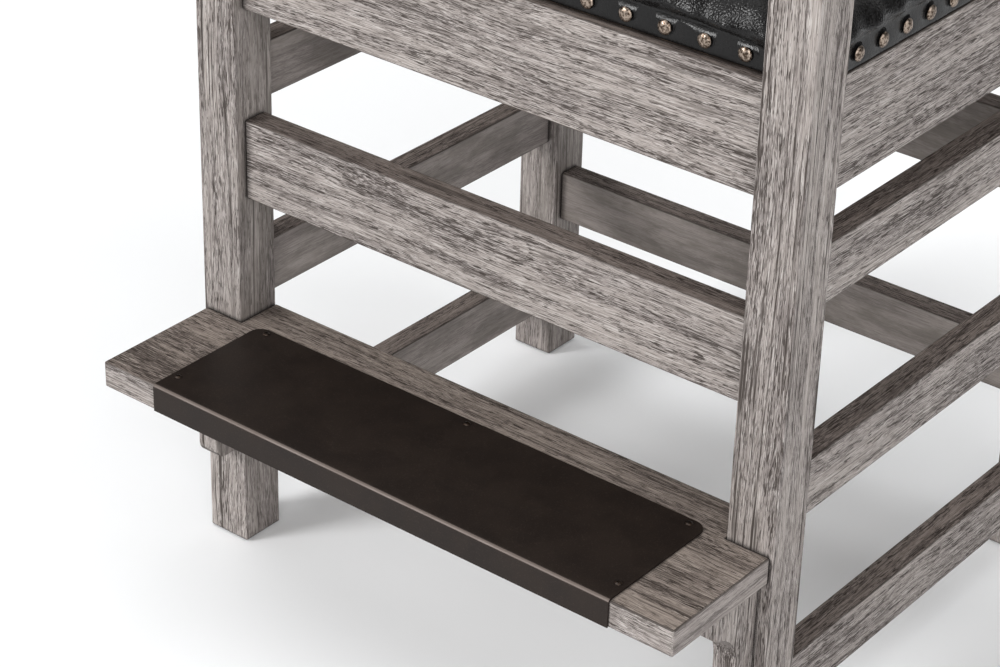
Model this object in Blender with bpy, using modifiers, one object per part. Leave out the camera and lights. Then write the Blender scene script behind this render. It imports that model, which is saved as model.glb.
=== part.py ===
"""Bar stool with arms, a padded seat and back, and a metal-clad footrest.

The frame is square hardwood posts joined by mortised rails. The seat faces -Y, +X is to the
right of someone who faces the stool, +Z is up, and the origin is on the floor in the middle of
the stool's footprint. Lengths are in metres.
"""

import math

import bmesh
import bpy
from mathutils import Vector

# ---------------------------------------------------------------- driving dimensions
LEG = 0.050                     # square section of every post
FRAME_WIDTH = 0.688             # over the outer faces of the posts
FRAME_DEPTH = 0.562             # front face of the front posts to back face of the rear posts
GAP = 0.0003                    # between pieces that touch

RAIL_THICKNESS = 0.027          # every rail and apron, centred on the posts
TENON_LENGTH = 0.020
TENON_THICKNESS = 0.009
TENON_SHOULDER = 0.008          # rail height left above and below its tenon
EDGE_EASE = 0.0012              # sanded arrises

SIDE_RAIL_HEIGHT = 0.058
SIDE_RAIL_LOWEST = 0.056        # underside of the lowest side rail
SIDE_RAIL_PITCH = 0.2162        # from one side rail to the next
WIDE_RAIL_HEIGHT = 0.084
WIDE_RAIL_LOW = 0.398           # underside of the front rail and of the rail behind it
REAR_RAIL_LOW = 0.175           # underside of the lower rear rail
APRON_LOW = 0.598
APRON_HIGH = 0.7035

FOOTREST_TOP = 0.264
FOOTREST_THICKNESS = 0.0277
FOOTREST_REACH = 0.1440         # bare board, ahead of the front posts
FOOTREST_END_INSET = 0.0034     # board ends, inside the outer faces of the posts
FOOTREST_EASE = 0.0015

PLATE_THICKNESS = 0.0015
PLATE_WIDTH = 0.545
PLATE_BEHIND_POST_FACE = 0.0033
PLATE_CORNER = 0.013
PLATE_BEND = 0.0025
SCREW_HEAD_RADIUS = 0.0036
SCREW_HEAD_HEIGHT = 0.0015
SCREW_SHANK_RADIUS = 0.0016
SCREW_LENGTH = 0.014

CORBEL_THICKNESS = 0.025        # centred on the post behind it
CORBEL_REACH = 0.062
CORBEL_NOSE_HEIGHT = 0.034      # square nose under the board
CORBEL_STEM = 0.027             # depth of the lower part
CORBEL_HEIGHT = 0.128
CORBEL_TOE_RADIUS = 0.013
COVE_RADIUS = 0.046

CORBEL_EASE = 0.0008

PLATE_SCREW_FRONT_X = 0.2640
PLATE_SCREW_REAR_X = 0.2565
PLATE_SCREW_FRONT_LINE = 0.1200  # ahead of the front faces of the posts
PLATE_SCREW_REAR_LINE = 0.0042
SLOT_HALF_LENGTH = 0.0021       # cross recess in the head of a plate screw
SLOT_HALF_WIDTH = 0.00035
SLOT_FLOOR = 0.0007             # above the underside of the head
SLOT_TURN = 20                  # degrees

SEAT_SETBACK = 0.020            # upholstery front, behind the front faces of the posts
SEAT_BOARD_THICKNESS = 0.024
SEAT_TOP = 0.770
LEATHER_WRAP = 0.0025           # leather and wadding over the edge of the board
POST_CLEARANCE = 0.0010         # upholstery to the sides of the posts
SEAT_EASE = 0.0040

BRACE_HEIGHT = 0.040            # corner braces under the seat
BRACE_DROP = 0.004              # from the top of the aprons to the top of a brace
BRACE_OUTER = 0.026
BRACE_INNER = 0.064
SEAT_SCREW_SHANK_RADIUS = 0.0022
SEAT_SCREW_HEAD_RADIUS = 0.0048
SEAT_SCREW_HEAD_HEIGHT = 0.0024
SEAT_SCREW_LENGTH = 0.058

ARM_LOW = 0.984
ARM_THICKNESS = 0.026
ARM_OVERHANG = 0.018            # past the outer and front faces of the post
ARM_WIDTH = LEG + ARM_OVERHANG
ARM_CORNER = 0.010
ARM_EASE = 0.0030
ARM_TENON_HEIGHT = 0.010
ARM_TENON_WIDTH = 0.036
POST_STUB = 0.022               # square stub on top of a front post
POST_STUB_HEIGHT = 0.014

REAR_POST_TOP = 1.195
CREST_LOW = 1.095
BACK_RAIL_LOW = 0.788
BACK_BOARD_THICKNESS = 0.012
GROOVE_DEPTH = 0.006
BACK_PAD_THICKNESS = 0.038
BACK_PAD_ROUND = 0.014

GLIDE_RADIUS = 0.012
GLIDE_THICKNESS = 0.003
GLIDE_PROUD = 0.0015
GLIDE_NAIL_RADIUS = 0.0014
GLIDE_NAIL_LENGTH = 0.016
GLIDE_CHAMFER = 0.0006

ROUND_STEPS = 16                # sides of a turned piece
OVERCUT = 0.005                 # how far a cutter or a hidden joint runs on past a surface

# ---------------------------------------------------------------- derived positions
HALF_WIDTH = FRAME_WIDTH / 2
FOOTREST_FRONT_REACH = FOOTREST_REACH + GAP + PLATE_THICKNESS
POST_FRONT = -(FRAME_DEPTH - FOOTREST_FRONT_REACH) / 2   # front faces of the front posts
POST_BACK = POST_FRONT + FRAME_DEPTH                     # back faces of the rear posts
INNER_X = HALF_WIDTH - LEG                               # inner faces of the posts
FRONT_INNER_Y = POST_FRONT + LEG                         # back faces of the front posts
REAR_INNER_Y = POST_BACK - LEG                           # front faces of the rear posts
RAIL_INSET = (LEG - RAIL_THICKNESS) / 2
SIDE_RAIL_X = HALF_WIDTH - LEG / 2
FRONT_RAIL_Y = POST_FRONT + LEG / 2
REAR_RAIL_Y = POST_BACK - LEG / 2
POST_BOTTOM = GLIDE_PROUD
FOOTREST_UNDERSIDE = FOOTREST_TOP - FOOTREST_THICKNESS
SEAT_BASE = APRON_HIGH + GAP
SEAT_SIDE_X = HALF_WIDTH - RAIL_INSET
SIDES = {"left": -1, "right": 1}


def linear(hex_colour):
    """A hex sRGB colour as linear RGBA."""
    channels = [int(hex_colour[i:i + 2], 16) / 255 for i in (0, 2, 4)]
    return [c / 12.92 if c <= 0.04045 else ((c + 0.055) / 1.055) ** 2.4 for c in channels] + [1.0]


def material(name, hex_colour, roughness, metallic=0.0):
    finish = bpy.data.materials.new(name)
    finish.use_nodes = True
    shader = finish.node_tree.nodes["Principled BSDF"]
    shader.inputs["Base Color"].default_value = linear(hex_colour)
    shader.inputs["Roughness"].default_value = roughness
    shader.inputs["Metallic"].default_value = metallic
    finish.diffuse_color = linear(hex_colour)
    return finish


# ---------------------------------------------------------------- modelling helpers
def new_object(name, mesh, finish, collection):
    piece = bpy.data.objects.new(name, mesh)
    collection.objects.link(piece)
    if finish:
        mesh.materials.append(finish)
    return piece


def add_box(name, low, high, finish, collection):
    """A box between two corners, with its origin at its centre."""
    low, high = Vector(low), Vector(high)
    mesh = bpy.data.meshes.new(name)
    bm = bmesh.new()
    bmesh.ops.create_cube(bm, size=1.0)
    bmesh.ops.scale(bm, vec=high - low, verts=bm.verts)
    bm.to_mesh(mesh)
    bm.free()
    piece = new_object(name, mesh, finish, collection)
    piece.location = (low + high) / 2
    return piece


def add_cylinder(name, radius, base, height, collection):
    """An upright cylinder whose lower end is at base."""
    mesh = bpy.data.meshes.new(name)
    bm = bmesh.new()
    bmesh.ops.create_cone(bm, cap_ends=True, segments=ROUND_STEPS, radius1=radius,
                          radius2=radius, depth=height)
    bm.to_mesh(mesh)
    bm.free()
    piece = new_object(name, mesh, None, collection)
    piece.location = Vector(base) + Vector((0, 0, height / 2))
    return piece


def add_outline(name, points, thickness, finish, collection):
    """A flat outline in its own XY plane, given thickness along its own Z about its origin."""
    curve = bpy.data.curves.new(name + "_outline", "CURVE")
    curve.dimensions = "2D"
    curve.fill_mode = "BOTH"
    curve.extrude = thickness / 2
    spline = curve.splines.new("POLY")
    spline.points.add(len(points) - 1)
    for spline_point, (x, y) in zip(spline.points, points):
        spline_point.co = (x, y, 0, 1)
    spline.use_cyclic_u = True
    outline = bpy.data.objects.new(name + "_outline", curve)
    collection.objects.link(outline)
    evaluated = outline.evaluated_get(bpy.context.evaluated_depsgraph_get())
    mesh = bpy.data.meshes.new_from_object(evaluated)
    bpy.data.objects.remove(outline)
    mesh.name = name
    mesh.materials.clear()
    bm = bmesh.new()
    bm.from_mesh(mesh)
    bmesh.ops.remove_doubles(bm, verts=bm.verts, dist=0.00001)
    bmesh.ops.dissolve_limit(bm, angle_limit=math.radians(1), verts=bm.verts, edges=bm.edges)
    bmesh.ops.recalc_face_normals(bm, faces=bm.faces)
    bm.to_mesh(mesh)
    bm.free()
    return new_object(name, mesh, finish, collection)


def add_turned(name, profile, finish, collection):
    """A turned piece: profile runs from the top centre down the outside to the bottom centre."""
    mesh = bpy.data.meshes.new(name)
    bm = bmesh.new()
    corners = [bm.verts.new((radius, 0, height)) for radius, height in profile]
    for upper, lower in zip(corners, corners[1:]):
        bm.edges.new((upper, lower))
    bm.to_mesh(mesh)
    bm.free()
    piece = new_object(name, mesh, finish, collection)
    turn = piece.modifiers.new("turn", "SCREW")
    turn.steps = ROUND_STEPS
    turn.render_steps = ROUND_STEPS
    turn.use_merge_vertices = True
    turn.merge_threshold = 0.0001
    turn.use_smooth_shade = True
    return piece


def arc(centre, radius, start_degrees, end_degrees, steps):
    """Points along an arc, both ends included."""
    points = []
    for step in range(steps + 1):
        angle = math.radians(start_degrees + (end_degrees - start_degrees) * step / steps)
        points.append((centre[0] + radius * math.cos(angle), centre[1] + radius * math.sin(angle)))
    return points


def rounded_rectangle(low, high, radius, steps=4):
    (x0, y0), (x1, y1) = low, high
    return (arc((x1 - radius, y1 - radius), radius, 0, 90, steps)
            + arc((x0 + radius, y1 - radius), radius, 90, 180, steps)
            + arc((x0 + radius, y0 + radius), radius, 180, 270, steps)
            + arc((x1 - radius, y0 + radius), radius, 270, 360, steps))


def ease(piece, width=EDGE_EASE, segments=2):
    """Rounds the sharp edges of a piece."""
    bevel = piece.modifiers.new("eased edges", "BEVEL")
    bevel.width = width
    bevel.segments = segments
    bevel.limit_method = "ANGLE"
    bevel.angle_limit = math.radians(40)


def combine(piece, tool, operation):
    """Cuts or joins a piece with a hidden tool object."""
    tool.hide_render = True
    tool.display_type = "WIRE"
    boolean = piece.modifiers.new(operation.lower() + " " + tool.name, "BOOLEAN")
    boolean.operation = operation
    boolean.solver = "EXACT"
    boolean.object = tool


def grown(low, high, amount=GAP):
    """The two corners of a box, moved outwards."""
    step = Vector((amount, amount, amount))
    return Vector(low) - step, Vector(high) + step


# ---------------------------------------------------------------- rails and their joints
class Rail:
    """A rail between two posts, with a tenon at each end."""

    def __init__(self, name, axis, across, low_z, height, start, end):
        self.name = name
        self.axis = axis            # 0 runs along X, 1 runs along Y
        self.across = across        # centre line, on the other horizontal axis
        self.low_z = low_z
        self.high_z = low_z + height
        self.start = start          # post faces that the shoulders meet
        self.end = end

    def corners(self, start, end, thickness, trim):
        low = [0, 0, self.low_z + trim]
        high = [0, 0, self.high_z - trim]
        low[self.axis], high[self.axis] = start, end
        low[1 - self.axis] = self.across - thickness / 2
        high[1 - self.axis] = self.across + thickness / 2
        return low, high

    def tenon_corners(self):
        """The strip that both tenons are the ends of."""
        return self.corners(self.start - TENON_LENGTH, self.end + TENON_LENGTH,
                            TENON_THICKNESS, TENON_SHOULDER)

    def build(self, finish, parts, cutters):
        body = self.corners(self.start + GAP, self.end - GAP, RAIL_THICKNESS, 0)
        piece = add_box(self.name, *body, finish, parts)
        ease(piece)
        tenons = add_box(self.name + "_tenons", *self.tenon_corners(), None, cutters)
        combine(piece, tenons, "UNION")
        return piece

    def mortise(self, post, cutters):
        """Cuts the post wherever the tenon strip passes into it."""
        hole = add_box(self.name + "_mortise_in_" + post.name, *grown(*self.tenon_corners()),
                       None, cutters)
        combine(post, hole, "DIFFERENCE")


def cross_rail(name, y, low_z, height):
    return Rail(name, 0, y, low_z, height, -INNER_X, INNER_X)


def side_rail(name, side, low_z, height):
    return Rail(name, 1, SIDES[side] * SIDE_RAIL_X, low_z, height, FRONT_INNER_Y, REAR_INNER_Y)


def build_rails(wood, parts, cutters):
    """All rails, with the posts that each one is tenoned into."""
    apron_height = APRON_HIGH - APRON_LOW
    fronts = [cross_rail("front_apron", FRONT_RAIL_Y, APRON_LOW, apron_height),
              cross_rail("front_rail", FRONT_RAIL_Y, WIDE_RAIL_LOW, WIDE_RAIL_HEIGHT)]
    rears = [cross_rail("rear_apron", REAR_RAIL_Y, APRON_LOW, apron_height),
             cross_rail("rear_upper_rail", REAR_RAIL_Y, WIDE_RAIL_LOW, WIDE_RAIL_HEIGHT),
             cross_rail("rear_lower_rail", REAR_RAIL_Y, REAR_RAIL_LOW, SIDE_RAIL_HEIGHT),
             cross_rail("lower_back_rail", REAR_RAIL_Y, BACK_RAIL_LOW, SIDE_RAIL_HEIGHT),
             cross_rail("crest_rail", REAR_RAIL_Y, CREST_LOW, WIDE_RAIL_HEIGHT)]
    joints = {("front", side): list(fronts) for side in SIDES}
    joints.update({("rear", side): list(rears) for side in SIDES})
    rails = fronts + rears
    for side in SIDES:
        sides = [side_rail("side_apron_" + side, side, APRON_LOW, apron_height)]
        for level, label in enumerate(("low", "middle", "high")):
            low_z = SIDE_RAIL_LOWEST + level * SIDE_RAIL_PITCH
            sides.append(side_rail(f"side_rail_{label}_{side}", side, low_z, SIDE_RAIL_HEIGHT))
        rails += sides
        joints["front", side] += sides
        joints["rear", side] += sides
    pieces = {rail.name: rail.build(wood, parts, cutters) for rail in rails}
    return pieces, joints


def build_posts(wood, joints, parts, cutters):
    """Four posts with their mortises, keyed by row and side."""
    posts = {}
    for (row, side), rails in joints.items():
        outer = SIDES[side] * HALF_WIDTH
        inner = SIDES[side] * INNER_X
        front = POST_FRONT if row == "front" else REAR_INNER_Y
        top = ARM_LOW - GAP if row == "front" else REAR_POST_TOP
        post = add_box(f"{row}_leg_{side}", (min(outer, inner), front, POST_BOTTOM),
                       (max(outer, inner), front + LEG, top), wood, parts)
        ease(post)
        for rail in rails:
            rail.mortise(post, cutters)
        posts[row, side] = post
    return posts


# ---------------------------------------------------------------- footrest
def footrest_outline():
    """The board runs across in front of the posts, and back between them."""
    end = HALF_WIDTH - FOOTREST_END_INSET
    front = POST_FRONT - FOOTREST_REACH
    notch_y = POST_FRONT - GAP
    tongue_x = INNER_X - GAP
    right = [(end, front), (end, notch_y), (tongue_x, notch_y), (tongue_x, FRONT_INNER_Y)]
    return right + [(-x, y) for x, y in reversed(right)]


def plate_screw_places():
    rear_y = POST_FRONT - PLATE_SCREW_REAR_LINE
    front_y = POST_FRONT - PLATE_SCREW_FRONT_LINE
    return {"kick_plate_screw_front_left": (-PLATE_SCREW_FRONT_X, front_y),
            "kick_plate_screw_front_right": (PLATE_SCREW_FRONT_X, front_y),
            "kick_plate_screw_rear_left": (-PLATE_SCREW_REAR_X, rear_y),
            "kick_plate_screw_rear_middle": (0.0, rear_y),
            "kick_plate_screw_rear_right": (PLATE_SCREW_REAR_X, rear_y)}


def build_kick_plate(metal, parts):
    """Sheet metal over the board, bent down over its front edge."""
    front = POST_FRONT - FOOTREST_REACH - GAP
    rear = POST_FRONT + PLATE_BEHIND_POST_FACE
    top = FOOTREST_TOP + GAP
    mesh = bpy.data.meshes.new("kick_plate")
    bm = bmesh.new()
    bmesh.ops.create_grid(bm, x_segments=1, y_segments=1, size=0.5)
    bmesh.ops.scale(bm, vec=(PLATE_WIDTH, rear - front, 1), verts=bm.verts)
    bmesh.ops.translate(bm, vec=(0, (rear + front) / 2, top), verts=bm.verts)
    front_edge = [edge for edge in bm.edges if all(v.co.y < front + GAP for v in edge.verts)]
    folded = bmesh.ops.extrude_edge_only(bm, edges=front_edge)["geom"]
    folded = [element for element in folded if isinstance(element, bmesh.types.BMVert)]
    bmesh.ops.translate(bm, vec=(0, 0, -(FOOTREST_THICKNESS + GAP)), verts=folded)
    bend = [edge for edge in bm.edges if len(edge.link_faces) == 2]
    bmesh.ops.bevel(bm, geom=bend, offset=PLATE_BEND, segments=4, profile=0.5, affect="EDGES")
    rear_corners = [v for v in bm.verts if v.co.y > rear - GAP]
    bmesh.ops.bevel(bm, geom=rear_corners, offset=PLATE_CORNER, segments=5, profile=0.5,
                    affect="VERTICES")
    bmesh.ops.recalc_face_normals(bm, faces=bm.faces)
    if max(bm.faces, key=lambda face: face.calc_area()).normal.z < 0:
        bmesh.ops.reverse_faces(bm, faces=bm.faces)
    bm.to_mesh(mesh)
    bm.free()
    plate = new_object("kick_plate", mesh, metal, parts)
    sheet = plate.modifiers.new("sheet thickness", "SOLIDIFY")
    sheet.thickness = PLATE_THICKNESS
    sheet.offset = 1.0
    sheet.use_even_offset = True
    return plate


def screw_profile(head_radius, head_height, shank_radius, length):
    """A domed head over a pointed shank, with the head's underside at zero."""
    dome = [(head_radius * math.sin(math.radians(a)), head_height * math.cos(math.radians(a)))
            for a in (0, 25, 50, 72, 90)]
    point = 2 * shank_radius
    return dome + [(head_radius, 0), (shank_radius, 0), (shank_radius, point - length),
                   (0, -length)]


def build_footrest(wood, metal, screw_metal, parts, cutters):
    board = add_outline("footrest_board", footrest_outline(), FOOTREST_THICKNESS, wood, parts)
    board.location.z = FOOTREST_TOP - FOOTREST_THICKNESS / 2
    ease(board, FOOTREST_EASE)
    plate = build_kick_plate(metal, parts)
    plate_top = FOOTREST_TOP + GAP + PLATE_THICKNESS
    for name, (x, y) in plate_screw_places().items():
        screw = add_turned(name, screw_profile(SCREW_HEAD_RADIUS, SCREW_HEAD_HEIGHT,
                                               SCREW_SHANK_RADIUS, SCREW_LENGTH),
                           screw_metal, parts)
        screw.location = (x, y, plate_top + GAP)
        bottom = plate_top - SCREW_LENGTH - GAP
        pilot = add_cylinder(name + "_pilot", SCREW_SHANK_RADIUS + GAP, (x, y, bottom),
                             SCREW_LENGTH + OVERCUT, cutters)
        for drilled in (board, plate):
            combine(drilled, pilot, "DIFFERENCE")
        for turned in (0, math.pi / 2):
            slot = add_box(f"{name}_slot_{'across' if turned else 'along'}",
                           (-SLOT_HALF_LENGTH, -SLOT_HALF_WIDTH, SLOT_FLOOR),
                           (SLOT_HALF_LENGTH, SLOT_HALF_WIDTH, OVERCUT), None, cutters)
            slot.location += screw.location
            slot.rotation_euler.z = turned + math.radians(SLOT_TURN)
            combine(screw, slot, "DIFFERENCE")
    for side, sign in SIDES.items():
        corbel = add_outline("corbel_" + side, corbel_outline(), CORBEL_THICKNESS, wood, parts)
        corbel.rotation_euler = (math.pi / 2, 0, math.pi / 2)
        corbel.location = (sign * SIDE_RAIL_X, POST_FRONT - GAP, FOOTREST_UNDERSIDE - GAP)
        ease(corbel, CORBEL_EASE, 1)


def corbel_outline():
    """Side view, with the post's face at x = 0 and the board's underside at y = 0."""
    nose_low = -CORBEL_NOSE_HEIGHT
    foot = -CORBEL_HEIGHT
    # The cove is a circle that meets the stem on its level and ends at the foot of the nose.
    cove_x = -CORBEL_STEM - COVE_RADIUS
    cove_start = math.degrees(math.acos((-CORBEL_REACH - cove_x) / COVE_RADIUS))
    cove_y = nose_low - COVE_RADIUS * math.sin(math.radians(cove_start))
    toe_x = -CORBEL_STEM + CORBEL_TOE_RADIUS
    return ([(0, 0), (-CORBEL_REACH, 0)]
            + arc((cove_x, cove_y), COVE_RADIUS, cove_start, 0, 8)
            + arc((toe_x, foot + CORBEL_TOE_RADIUS), CORBEL_TOE_RADIUS, 180, 270, 5)
            + [(0, foot)])


# ---------------------------------------------------------------- seat
def add_seat_slab(name, wrap, low_z, high_z, finish, collection):
    """A slab notched round the four posts, drawn in by the wrap on every free side."""
    inner = INNER_X - POST_CLEARANCE - wrap
    outer = SEAT_SIDE_X - wrap
    front = POST_FRONT + SEAT_SETBACK + wrap
    rear = POST_BACK - SEAT_SETBACK - wrap
    front_notch = FRONT_INNER_Y + POST_CLEARANCE + wrap
    rear_notch = REAR_INNER_Y - POST_CLEARANCE - wrap
    mesh = bpy.data.meshes.new(name)
    bm = bmesh.new()
    bmesh.ops.create_grid(bm, x_segments=1, y_segments=1, size=0.5)
    bmesh.ops.scale(bm, vec=(2 * outer, rear - front, 1), verts=bm.verts)
    bmesh.ops.translate(bm, vec=(0, (rear + front) / 2, low_z), verts=bm.verts)
    for place, normal in (((-inner, 0, 0), (1, 0, 0)), ((inner, 0, 0), (1, 0, 0)),
                          ((0, front_notch, 0), (0, 1, 0)), ((0, rear_notch, 0), (0, 1, 0))):
        everything = bm.verts[:] + bm.edges[:] + bm.faces[:]
        bmesh.ops.bisect_plane(bm, geom=everything, plane_co=place, plane_no=normal)
    corners = [face for face in bm.faces if abs(face.calc_center_median().x) > inner
               and not front_notch < face.calc_center_median().y < rear_notch]
    bmesh.ops.delete(bm, geom=corners, context="FACES")
    raised = bmesh.ops.extrude_face_region(bm, geom=bm.faces[:])["geom"]
    raised = [element for element in raised if isinstance(element, bmesh.types.BMVert)]
    bmesh.ops.translate(bm, vec=(0, 0, high_z - low_z), verts=raised)
    bmesh.ops.recalc_face_normals(bm, faces=bm.faces)
    bm.to_mesh(mesh)
    bm.free()
    return new_object(name, mesh, finish, collection)


def brace_outline(sign_x, sign_y):
    """A corner brace across the inside corner of two aprons, clear of the post."""
    corner_x = sign_x * (HALF_WIDTH - RAIL_INSET - RAIL_THICKNESS - GAP)
    apron_y = FRONT_RAIL_Y if sign_y < 0 else REAR_RAIL_Y
    corner_y = apron_y - sign_y * (RAIL_THICKNESS / 2 + GAP)
    steps = [(BRACE_OUTER, 0), (BRACE_INNER, 0), (0, BRACE_INNER), (0, BRACE_OUTER)]
    return [(corner_x - sign_x * u, corner_y - sign_y * v) for u, v in steps]


def build_seat(finishes, parts, cutters):
    board_top = SEAT_BASE + SEAT_BOARD_THICKNESS
    board = add_seat_slab("seat_board", LEATHER_WRAP, SEAT_BASE, board_top,
                          finishes["plywood"], parts)
    cushion = add_seat_slab("seat_cushion", 0, SEAT_BASE, SEAT_TOP, finishes["leather"], parts)
    ease(cushion, SEAT_EASE)
    pocket = add_seat_slab("seat_board_pocket", LEATHER_WRAP - GAP, SEAT_BASE - OVERCUT,
                           board_top + GAP, None, cutters)
    combine(cushion, pocket, "DIFFERENCE")

    brace_top = APRON_HIGH - BRACE_DROP
    for row, sign_y in (("front", -1), ("rear", 1)):
        for side, sign_x in SIDES.items():
            outline = brace_outline(sign_x, sign_y)
            brace = add_outline(f"corner_brace_{row}_{side}", outline, BRACE_HEIGHT,
                                finishes["softwood"], parts)
            brace.location.z = brace_top - BRACE_HEIGHT / 2
            x = sum(point[0] for point in outline) / 4
            y = sum(point[1] for point in outline) / 4
            head_z = brace_top - BRACE_HEIGHT - GAP
            screw = add_turned(f"seat_screw_{row}_{side}",
                               screw_profile(SEAT_SCREW_HEAD_RADIUS, SEAT_SCREW_HEAD_HEIGHT,
                                             SEAT_SCREW_SHANK_RADIUS, SEAT_SCREW_LENGTH),
                               finishes["screw"], parts)
            screw.rotation_euler.x = math.pi
            screw.location = (x, y, head_z)
            pilot = add_cylinder(f"seat_screw_{row}_{side}_pilot", SEAT_SCREW_SHANK_RADIUS + GAP,
                                 (x, y, head_z - OVERCUT),
                                 SEAT_SCREW_LENGTH + OVERCUT + GAP, cutters)
            combine(brace, pilot, "DIFFERENCE")
            combine(board, pilot, "DIFFERENCE")


# ---------------------------------------------------------------- arms and back
def build_arms(wood, posts, parts, cutters):
    """Flat arms: each sits on a stub of the front post and is tenoned into the rear one."""
    front = POST_FRONT - ARM_OVERHANG
    rear = REAR_INNER_Y - GAP
    middle_z = ARM_LOW + ARM_THICKNESS / 2
    for side, sign in SIDES.items():
        outer = HALF_WIDTH + ARM_OVERHANG
        middle_x = outer - ARM_WIDTH / 2
        points = rounded_rectangle((middle_x - ARM_WIDTH / 2, front),
                                   (middle_x + ARM_WIDTH / 2, rear), ARM_CORNER)
        if sign < 0:
            points = [(-x, y) for x, y in reversed(points)]
        arm = add_outline("arm_" + side, points, ARM_THICKNESS, wood, parts)
        arm.location.z = middle_z
        ease(arm, ARM_EASE, 3)

        tenon_low = (sign * SIDE_RAIL_X - ARM_TENON_WIDTH / 2, rear - OVERCUT,
                     middle_z - ARM_TENON_HEIGHT / 2)
        tenon_high = (sign * SIDE_RAIL_X + ARM_TENON_WIDTH / 2, REAR_INNER_Y + TENON_LENGTH,
                      middle_z + ARM_TENON_HEIGHT / 2)
        tenon = add_box(f"arm_{side}_tenon", tenon_low, tenon_high, None, cutters)
        combine(arm, tenon, "UNION")
        mortise = add_box(f"arm_{side}_mortise", *grown(tenon_low, tenon_high), None, cutters)
        combine(posts["rear", side], mortise, "DIFFERENCE")

        half = POST_STUB / 2
        stub_low = (sign * SIDE_RAIL_X - half, FRONT_RAIL_Y - half, ARM_LOW - OVERCUT)
        stub_high = (sign * SIDE_RAIL_X + half, FRONT_RAIL_Y + half, ARM_LOW + POST_STUB_HEIGHT)
        stub = add_box(f"front_post_{side}_stub", stub_low, stub_high, None, cutters)
        combine(posts["front", side], stub, "UNION")
        socket = add_box(f"arm_{side}_socket", *grown(stub_low, stub_high), None, cutters)
        combine(arm, socket, "DIFFERENCE")


def build_back(finishes, posts, rails, parts, cutters):
    """A panel held in grooves of the posts and rails, with a pad on its front."""
    low_z = BACK_RAIL_LOW + SIDE_RAIL_HEIGHT
    reach = GROOVE_DEPTH - GAP
    half = BACK_BOARD_THICKNESS / 2
    low = (-INNER_X - reach, REAR_RAIL_Y - half, low_z - reach)
    high = (INNER_X + reach, REAR_RAIL_Y + half, CREST_LOW + reach)
    add_box("back_board", low, high, finishes["wood"], parts)
    groove = add_box("back_board_groove", *grown(low, high), None, cutters)
    for framed in (posts["rear", "left"], posts["rear", "right"],
                   rails["lower_back_rail"], rails["crest_rail"]):
        combine(framed, groove, "DIFFERENCE")
    pad_back = REAR_RAIL_Y - half - GAP
    pad = add_box("back_cushion",
                  (-INNER_X + POST_CLEARANCE, pad_back - BACK_PAD_THICKNESS,
                   low_z + POST_CLEARANCE),
                  (INNER_X - POST_CLEARANCE, pad_back, CREST_LOW - POST_CLEARANCE),
                  finishes["leather"], parts)
    ease(pad, BACK_PAD_ROUND, 3)


# ---------------------------------------------------------------- glides
def build_glides(nylon, posts, parts, cutters):
    nail_top = GLIDE_THICKNESS + GLIDE_NAIL_LENGTH
    profile = [(0, nail_top), (GLIDE_NAIL_RADIUS, nail_top - 2 * GLIDE_NAIL_RADIUS),
               (GLIDE_NAIL_RADIUS, GLIDE_THICKNESS), (GLIDE_RADIUS, GLIDE_THICKNESS),
               (GLIDE_RADIUS, GLIDE_CHAMFER), (GLIDE_RADIUS - GLIDE_CHAMFER, 0), (0, 0)]
    for (row, side), post in posts.items():
        x = SIDES[side] * SIDE_RAIL_X
        y = FRONT_RAIL_Y if row == "front" else REAR_RAIL_Y
        glide = add_turned(f"foot_glide_{row}_{side}", profile, nylon, parts)
        glide.location = (x, y, 0)
        seat = add_cylinder(f"glide_seat_{row}_{side}", GLIDE_RADIUS + GAP, (x, y, -OVERCUT),
                            GLIDE_THICKNESS + GAP + OVERCUT, cutters)
        hole = add_cylinder(f"glide_nail_hole_{row}_{side}", GLIDE_NAIL_RADIUS + GAP,
                            (x, y, -OVERCUT), nail_top + OVERCUT + GAP, cutters)
        combine(post, seat, "DIFFERENCE")
        combine(post, hole, "DIFFERENCE")


def main():
    for leftover in list(bpy.data.objects):
        bpy.data.objects.remove(leftover)
    parts = bpy.data.collections.new("bar_stool")
    cutters = bpy.data.collections.new("cutters")
    for collection in (parts, cutters):
        bpy.context.scene.collection.children.link(collection)

    finishes = {
        "wood": material("limed_hardwood", "968E8B", 0.65),
        "plywood": material("birch_plywood", "C2A57A", 0.75),
        "softwood": material("planed_poplar", "B7A788", 0.75),
        "leather": material("black_leather", "2B2A2A", 0.42),
        "metal": material("bronzed_steel_sheet", "3A322F", 0.42, 0.7),
        "screw": material("bronzed_steel_screw", "4A403A", 0.40, 0.9),
        "nylon": material("brown_nylon", "4B3D33", 0.55),
    }
    rails, joints = build_rails(finishes["wood"], parts, cutters)
    posts = build_posts(finishes["wood"], joints, parts, cutters)
    build_footrest(finishes["wood"], finishes["metal"], finishes["screw"], parts, cutters)
    build_seat(finishes, parts, cutters)
    build_arms(finishes["wood"], posts, parts, cutters)
    build_back(finishes, posts, rails, parts, cutters)
    build_glides(finishes["nylon"], posts, parts, cutters)


main()
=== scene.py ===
"""Finishes and upholstery of a bar stool with arms and a metal-clad footrest."""

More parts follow.
